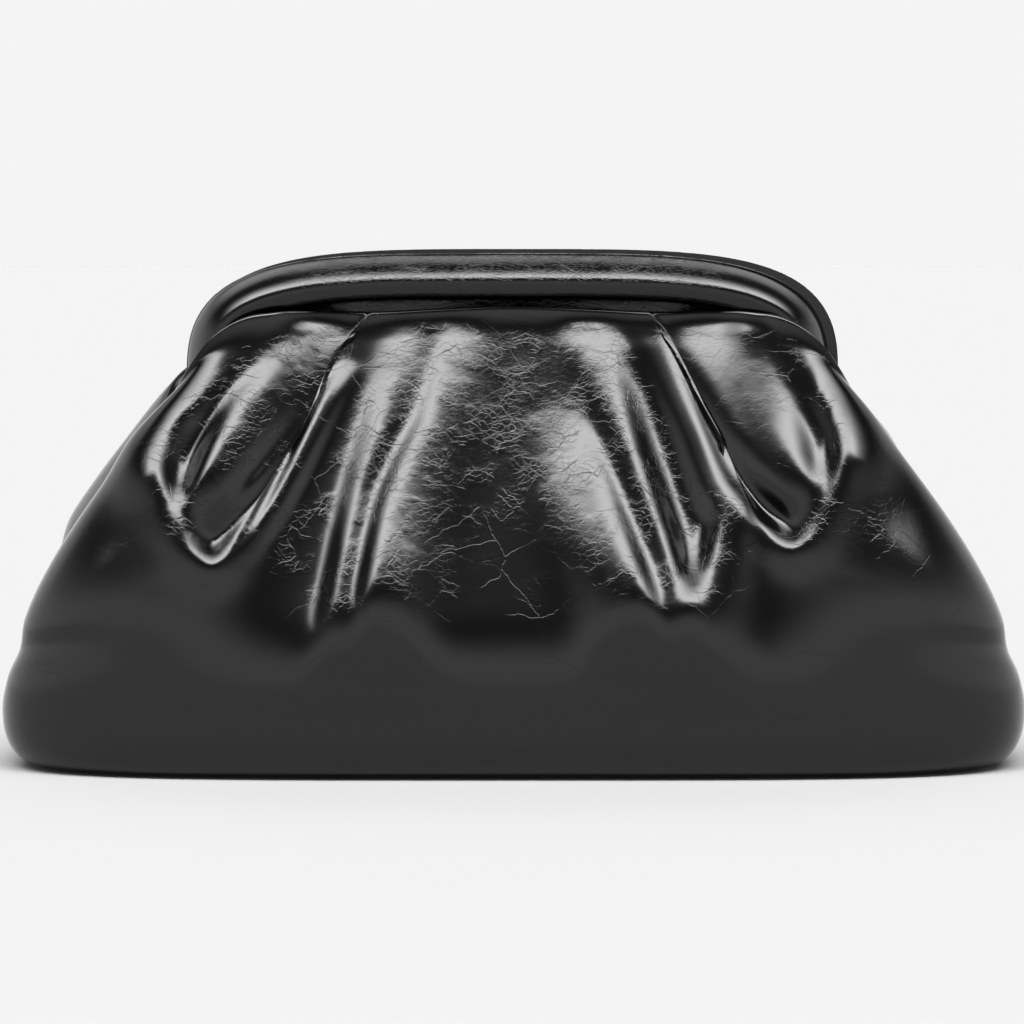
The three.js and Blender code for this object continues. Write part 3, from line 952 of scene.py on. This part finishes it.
def finish_panel(name, outer, inner, wear, turned):
    points = np.vstack([outer.reshape(-1, 3), inner.reshape(-1, 3)]) * MM
    if turned:
        points[:, :2] *= -1
    first_inner = outer.shape[0] * outer.shape[1]
    faces = quads(*outer.shape[:2], 0, False) + quads(*inner.shape[:2], first_inner, True)
    outside = border(*outer.shape[:2], 0)
    inside = border(*inner.shape[:2], first_inner)
    count = len(inside)
    for k in range(count):
        near = [outside[(k * INNER_EVERY + step) % len(outside)] for step in range(INNER_EVERY + 1)]
        faces.append([*near, inside[(k + 1) % count], inside[k]])
    mesh = bpy.data.meshes.new(name)
    mesh.from_pydata(points.tolist(), [], faces)
    mesh.validate()
    mesh.shade_smooth()
    for label, amount in wear.items():
        values = np.concatenate([amount.ravel(), np.zeros(len(points) - first_inner)])
        mesh.attributes.new(label, "FLOAT", "POINT").data.foreach_set("value", values)
    mesh.materials.append(pouch_leather)
    piece = bpy.data.objects.new(name, mesh)
    bpy.context.scene.collection.objects.link(piece)
    return piece


print("the inner grid takes one point in", INNER_EVERY)

# %% [markdown]
# Now the smooth wall is lifted by its hollows and folds, the pleats are laid over sideways,
# the sides are tucked in and the borders are drawn to the seam. The back has the same folds,
# turned round, and one lobe more.

# %% The two panels
LEATHER = 1.8
EDGE_THINNED = 0.45
SIDE_TUCK = 6.0
SIDE_TUCK_WIDTH = 14.0
SIDE_TUCK_FROM = (60.0, 110.0)
TUCK_FADE = 5.0
FULL_DEPTH = 55.0
FULL_SOFTNESS = 1.0
STRIP_MIDDLE = 6.0
STRIP_WIDTH = 4.5
STRIP_FROM = (72.0, 90.0)


def make_panel(name, folds, turned):
    """One leather panel as a closed mesh; turned puts it at the back of the bag."""
    smooth = smooth_wall(PANEL_SHARES)
    normal = grid_normals(smooth)
    x, y, z = smooth[..., 0], smooth[..., 1], smooth[..., 2]
    under_edge = z[:, EDGE_STEPS][:, None] - z
    fade = soft_step(under_edge, 0, FOLD_FADE)
    lift = np.zeros_like(x)
    laid_over = np.zeros_like(x)
    strip = np.ones_like(x)
    room = {None: 1.0}
    for hollow, way in zip(HOLLOWS, (-1.0, 1.0)):
        rise, tuck, inside, room[hollow.name] = hollow_lift(hollow, x, z)
        lift += rise
        laid_over += way * tuck
        strip -= np.exp(-(((inside + STRIP_MIDDLE) / STRIP_WIDTH) ** 2)) * soft_step(z, *STRIP_FROM)
    for fold in folds:
        lift += fold_lift(fold, x, z) * room[fold.within] * fade
    for _ in range(LIFT_PASSES):
        even_out(lift)
        even_out(lift.T)
    push = normal.copy()
    level = normal[:, EDGE_STEPS] * (1, 1, 0)
    push[:, :EDGE_STEPS] = (level / np.linalg.norm(level, axis=-1, keepdims=True))[:, None]
    outer = smooth + push * lift[..., None]
    outer[..., 0] += laid_over * soft_step(under_edge, 0, TUCK_FADE)
    beside = SIDE_TUCK * fade * np.exp(-((y / SIDE_TUCK_WIDTH) ** 2))
    beside *= soft_step(z, BELLY_HEIGHT, 2 * BELLY_HEIGHT)
    outer[..., 0] -= np.sign(x) * beside * soft_step(np.abs(x), *SIDE_TUCK_FROM)
    over = (FULL_DEPTH + outer[..., 1]) / FULL_SOFTNESS
    outer[..., 1] = FULL_SOFTNESS * np.logaddexp(0, over) - FULL_DEPTH
    seam = np.zeros(x.shape, bool)
    seam[[0, -1], :] = True
    seam[:, -1] = True
    outer[..., 1] = np.where(seam, -SEAM_GAP / 2, np.minimum(outer[..., 1], -SEAM_GAP / 2))
    coarse = outer[::INNER_EVERY, ::INNER_EVERY]
    thinned = mix(EDGE_THINNED, 1.0, soft_step(np.arange(ROWS), EDGE_STEPS, 2 * EDGE_STEPS))
    inner = coarse - grid_normals(coarse) * LEATHER * thinned[::INNER_EVERY, None]
    inner_seam = seam[::INNER_EVERY, ::INNER_EVERY]
    inner[..., 1] = np.where(inner_seam, -SEAM_GAP / 2, np.minimum(inner[..., 1], -SEAM_GAP / 2))
    wear = wear_amounts(x, z, under_edge, strip, room["right_hollow"])
    return finish_panel(name, outer, inner, wear, turned)


pouch_front = make_panel("pouch_front_leather", FOLDS, False)
pouch_back = make_panel("pouch_back_leather", FOLDS + [BACK_LOBE], True)
for piece in (pouch_front, pouch_back):
    piece.data.calc_loop_triangles()
    print(piece.name, len(piece.data.loop_triangles), "triangles")

# %% [markdown]
# ## The frame
# Each half of the frame is a bar bent to an arch and wrapped in padding and leather, with a
# skirt below that the panel is sewn to. A bevelled curve would give a plain tube. Geometry
# Nodes also give it its section: a line is bent to the arch, a circle is pressed to the
# section, and the section is swept along the line. Slow noise along the roll keeps it from
# looking machined.

# %% The frame's node tree
FRAME_HALF_SPAN = 90.8
FRAME_END_HEIGHT = 112.0
FRAME_TOP = 147.0
FRAME_POWER = 3.8
ROLL_HALF_HEIGHT = 7.0
ROLL_HALF_DEPTH = 5.55
FRAME_GAP = 0.6
FRAME_SEAM = 0.1
SKIRT_DROP = 8.0
SKIRT_FRONT = 4.6
SKIRT_BACK = 3.0
FRONT_FRAME_SHIFT = -1.6
BACK_FRAME_SHIFT = 0.8
BACK_FRAME_LIFT = 1.2
ROLL_LEAN = 7.0
ROLL_SAG = 1.8
ROLL_WRINKLES = 4.0
ROLL_CRACKLE = 1.0
ROLL_WORN = (0.85, 0.55)
ROLL_PINCH = (-0.72, -0.86)
ROLL_DROP = (-0.84, -1.0)
ROLL_UNEVENNESS = 0.22
ROLL_NOISE_PER_METRE = 55.0
LINE_POINTS = 900
ARCH_POINTS = 260
SECTION_POINTS = 72

roll_tree = bpy.data.node_groups.new("padded_roll", "GeometryNodeTree")
roll_tree.interface.new_socket("Geometry", in_out="OUTPUT", socket_type="NodeSocketGeometry")
ROLL_INPUTS = {
    "Half Span": FRAME_HALF_SPAN * MM,
    "End Height": FRAME_END_HEIGHT * MM,
    "Rise": (FRAME_TOP - FRAME_END_HEIGHT) * MM,
    "Corner Power": 2 / FRAME_POWER,
    "Half Depth": ROLL_HALF_DEPTH * MM,
    "Half Height": ROLL_HALF_HEIGHT * MM,
    "Middle": -(FRAME_GAP / 2 + ROLL_HALF_DEPTH) * MM,
    "Skirt Drop": SKIRT_DROP * MM,
    "Skirt Middle": -(SKIRT_FRONT + SKIRT_BACK) / 2 * MM,
    "Skirt Half": (SKIRT_FRONT - SKIRT_BACK) / 2 * MM,
    "Unevenness": ROLL_UNEVENNESS * MM,
    "Seam": -FRAME_SEAM / 2 * MM,
    "Lean": ROLL_LEAN * MM,
    "Sag": ROLL_SAG * MM,
    "Wrinkles": ROLL_WRINKLES,
    "Crackle": ROLL_CRACKLE,
}
sockets = {}
for label, value in ROLL_INPUTS.items():
    socket = roll_tree.interface.new_socket(label, in_out="INPUT", socket_type="NodeSocketFloat")
    socket.default_value = value
    sockets[label] = socket.identifier
print("roll tree takes", list(ROLL_INPUTS))

# %% [markdown]
# The places are worked out first, by name: the point of the arch for a share of the line,
# then the point of the pressed section for a point of the circle. Low on the circle the
# section first turns in under the roll and then drops to make the skirt.

# %% Places on the arch and on the section
sizes = add(roll_tree, "NodeGroupInput").outputs
found = {label: sizes[label] for label in ROLL_INPUTS}
found["share"] = add(roll_tree, "GeometryNodeSplineParameter").outputs["Factor"]
for label, operation, *values in (
    ("left", "SUBTRACT", 1.0, "share"),
    ("angle", "MULTIPLY", "left", math.pi),
    ("across", "COSINE", "angle"),
    ("side", "SIGN", "across"),
    ("across", "ABSOLUTE", "across"),
    ("span", "POWER", "across", "Corner Power"),
    ("across", "MULTIPLY", "span", "side"),
    ("arch x", "MULTIPLY", "across", "Half Span"),
    ("up", "SINE", "angle"),
    ("up", "ABSOLUTE", "up"),
    ("up", "POWER", "up", "Corner Power"),
    ("arch z", "MULTIPLY_ADD", "up", "Rise", "End Height"),
):
    inputs = {place: found.get(value, value) for place, value in enumerate(values)}
    found[label] = add(roll_tree, "ShaderNodeMath", inputs, operation=operation).outputs[0]

here = add(roll_tree, "GeometryNodeInputPosition").outputs[0]
on_circle = add(roll_tree, "ShaderNodeSeparateXYZ", {"Vector": here}).outputs
found["across"] = on_circle["X"]
found["up"] = on_circle["Y"]
slow = {"Vector": here, "Scale": ROLL_NOISE_PER_METRE, "Detail": NOISE_DETAIL}
found["slow"] = add(roll_tree, "ShaderNodeTexNoise", slow).outputs["Fac"]
for label, value, limits in (
    ("worn", "span", ROLL_WORN),
    ("pinch", "up", ROLL_PINCH),
    ("drop", "up", ROLL_DROP),
):
    limits = {"Value": found[value], "From Min": limits[0], "From Max": limits[1]}
    eased = add(roll_tree, "ShaderNodeMapRange", limits, interpolation_type="SMOOTHSTEP")
    found[label] = eased.outputs["Result"]
for label, operation, *values in (
    ("wrinkle", "MULTIPLY", "worn", "Wrinkles"),
    ("crackle", "MULTIPLY", "worn", "Crackle"),
    ("upper", "MAXIMUM", "up", 0.0),
    ("upper", "MULTIPLY", "upper", "upper"),
    ("round y", "MULTIPLY_ADD", "across", "Half Depth", "Middle"),
    ("round y", "MULTIPLY_ADD", "upper", "Lean", "round y"),
    ("round y", "MINIMUM", "round y", "Seam"),
    ("side", "SIGN", "across"),
    ("flat y", "MULTIPLY_ADD", "side", "Skirt Half", "Skirt Middle"),
    ("change", "SUBTRACT", "flat y", "round y"),
    ("section y", "MULTIPLY_ADD", "pinch", "change", "round y"),
    ("level", "MULTIPLY", "up", "up"),
    ("level", "SUBTRACT", 1.0, "level"),
    ("level", "MULTIPLY", "level", "Sag"),
    ("section up", "MULTIPLY", "up", "Half Height"),
    ("section up", "SUBTRACT", "section up", "level"),
    ("drop", "MULTIPLY", "drop", "Skirt Drop"),
    ("section up", "SUBTRACT", "section up", "drop"),
    ("slow", "SUBTRACT", "slow", NOISE_MIDDLE),
    ("slow", "MULTIPLY", "slow", "Unevenness"),
):
    inputs = {place: found.get(value, value) for place, value in enumerate(values)}
    found[label] = add(roll_tree, "ShaderNodeMath", inputs, operation=operation).outputs[0]
print("places by name:", len(found))

# %% [markdown]
# Now the shapes. How worn the leather is gets stored on the line while it is still straight,
# so that it runs along the arch and not through space.

# %% The line, the section and the sweep
line = add(roll_tree, "GeometryNodeCurvePrimitiveLine", {"End": (1.0, 0.0, 0.0)}).outputs[0]
line = add(roll_tree, "GeometryNodeResampleCurve", {"Curve": line, "Count": LINE_POINTS}).outputs[0]
for label in ("wrinkle", "crackle"):
    worn = {"Geometry": line, "Name": label, "Value": found[label]}
    stored = add(roll_tree, "GeometryNodeStoreNamedAttribute", worn, data_type="FLOAT", domain="POINT")
    line = stored.outputs[0]
bent = add(roll_tree, "ShaderNodeCombineXYZ", {"X": found["arch x"], "Z": found["arch z"]}).outputs[0]
arch = add(roll_tree, "GeometryNodeSetPosition", {"Geometry": line, "Position": bent}).outputs[0]
arch = add(roll_tree, "GeometryNodeResampleCurve", {"Curve": arch, "Count": ARCH_POINTS}).outputs[0]
facing_back = {"Curve": arch, "Normal": (0.0, 1.0, 0.0)}
arch = add(roll_tree, "GeometryNodeSetCurveNormal", facing_back, mode="FREE").outputs[0]
circle = {"Resolution": SECTION_POINTS, "Radius": 1.0}
circle = add(roll_tree, "GeometryNodeCurvePrimitiveCircle", circle).outputs["Curve"]
pressed = {"X": found["section y"], "Y": found["section up"]}
pressed = add(roll_tree, "ShaderNodeCombineXYZ", pressed).outputs[0]
section = {"Geometry": circle, "Position": pressed}
section = add(roll_tree, "GeometryNodeSetPosition", section).outputs[0]
swept = {"Curve": arch, "Profile Curve": section, "Fill Caps": True}
swept = add(roll_tree, "GeometryNodeCurveToMesh", swept).outputs[0]
facing_out = add(roll_tree, "GeometryNodeInputNormal").outputs[0]
push = {0: facing_out, "Scale": found["slow"]}
push = add(roll_tree, "ShaderNodeVectorMath", push, operation="SCALE").outputs[0]
uneven = add(roll_tree, "GeometryNodeSetPosition", {"Geometry": swept, "Offset": push})
uneven = add(roll_tree, "GeometryNodeSetShadeSmooth", {"Geometry": uneven.outputs[0]})
whole = add(roll_tree, "GeometryNodeRealizeInstances", {"Geometry": uneven.outputs[0]})
whole = {"Geometry": whole.outputs[0], "Material": frame_leather}
whole = add(roll_tree, "GeometryNodeSetMaterial", whole)
add(roll_tree, "NodeGroupOutput", {"Geometry": whole.outputs[0]})
print("roll tree has", len(roll_tree.nodes), "nodes")

# %% [markdown]
# The tree runs once for each half, on an empty mesh, and the result is kept as a plain mesh.
# The back half is the same, turned round, and stands a little higher and to one side, so
# that its rim shows behind the front one.


# %% The two frame halves
def make_roll(name, turned, shift, lift):
    """One frame half as a plain mesh, at the front or turned to the back."""
    holder = bpy.data.objects.new(name + "_line", bpy.data.meshes.new(name + "_line"))
    bpy.context.scene.collection.objects.link(holder)
    modifier = holder.modifiers.new("roll", "NODES")
    modifier.node_group = roll_tree
    for label, value in ROLL_INPUTS.items():
        modifier[sockets[label]] = value
    graph = bpy.context.evaluated_depsgraph_get()
    mesh = bpy.data.meshes.new_from_object(holder.evaluated_get(graph))
    bpy.data.objects.remove(holder)
    mesh.name = name
    places = np.empty(len(mesh.vertices) * 3)
    mesh.vertices.foreach_get("co", places)
    places = places.reshape(-1, 3)
    if turned:
        places[:, :2] *= -1
    places += np.array((shift, 0.0, lift)) * MM
    mesh.vertices.foreach_set("co", places.ravel())
    mesh.update()
    piece = bpy.data.objects.new(name, mesh)
    bpy.context.scene.collection.objects.link(piece)
    return piece


frame_front = make_roll("frame_front_roll", False, FRONT_FRAME_SHIFT, 0.0)
frame_back = make_roll("frame_back_roll", True, BACK_FRAME_SHIFT, BACK_FRAME_LIFT)
for piece in (frame_front, frame_back):
    places = np.array([v.co for v in piece.data.vertices]) / MM
    box = (places.min(0).round(2), places.max(0).round(2))
    print(piece.name, len(piece.data.polygons), "faces, box in mm", *box)

# %% [markdown]
# ## Putting it together
# Every piece is tied to the one body of the part and takes the place of its solid. The hinge
# barrels are right as they are and only get their steel.

# %% Tie the pieces to the part
PIECES = (
    (pouch_front, "pouch_front"),
    (pouch_back, "pouch_back"),
    (frame_front, "frame_front"),
    (frame_back, "frame_back"),
)
for piece, node in PIECES:
    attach(piece, "root")
    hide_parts(node)
for node in ("hinge_left", "hinge_right"):
    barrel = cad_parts[node]
    barrel.data.materials.clear()
    barrel.data.materials.append(steel)
print("tied", [node for piece, node in PIECES])
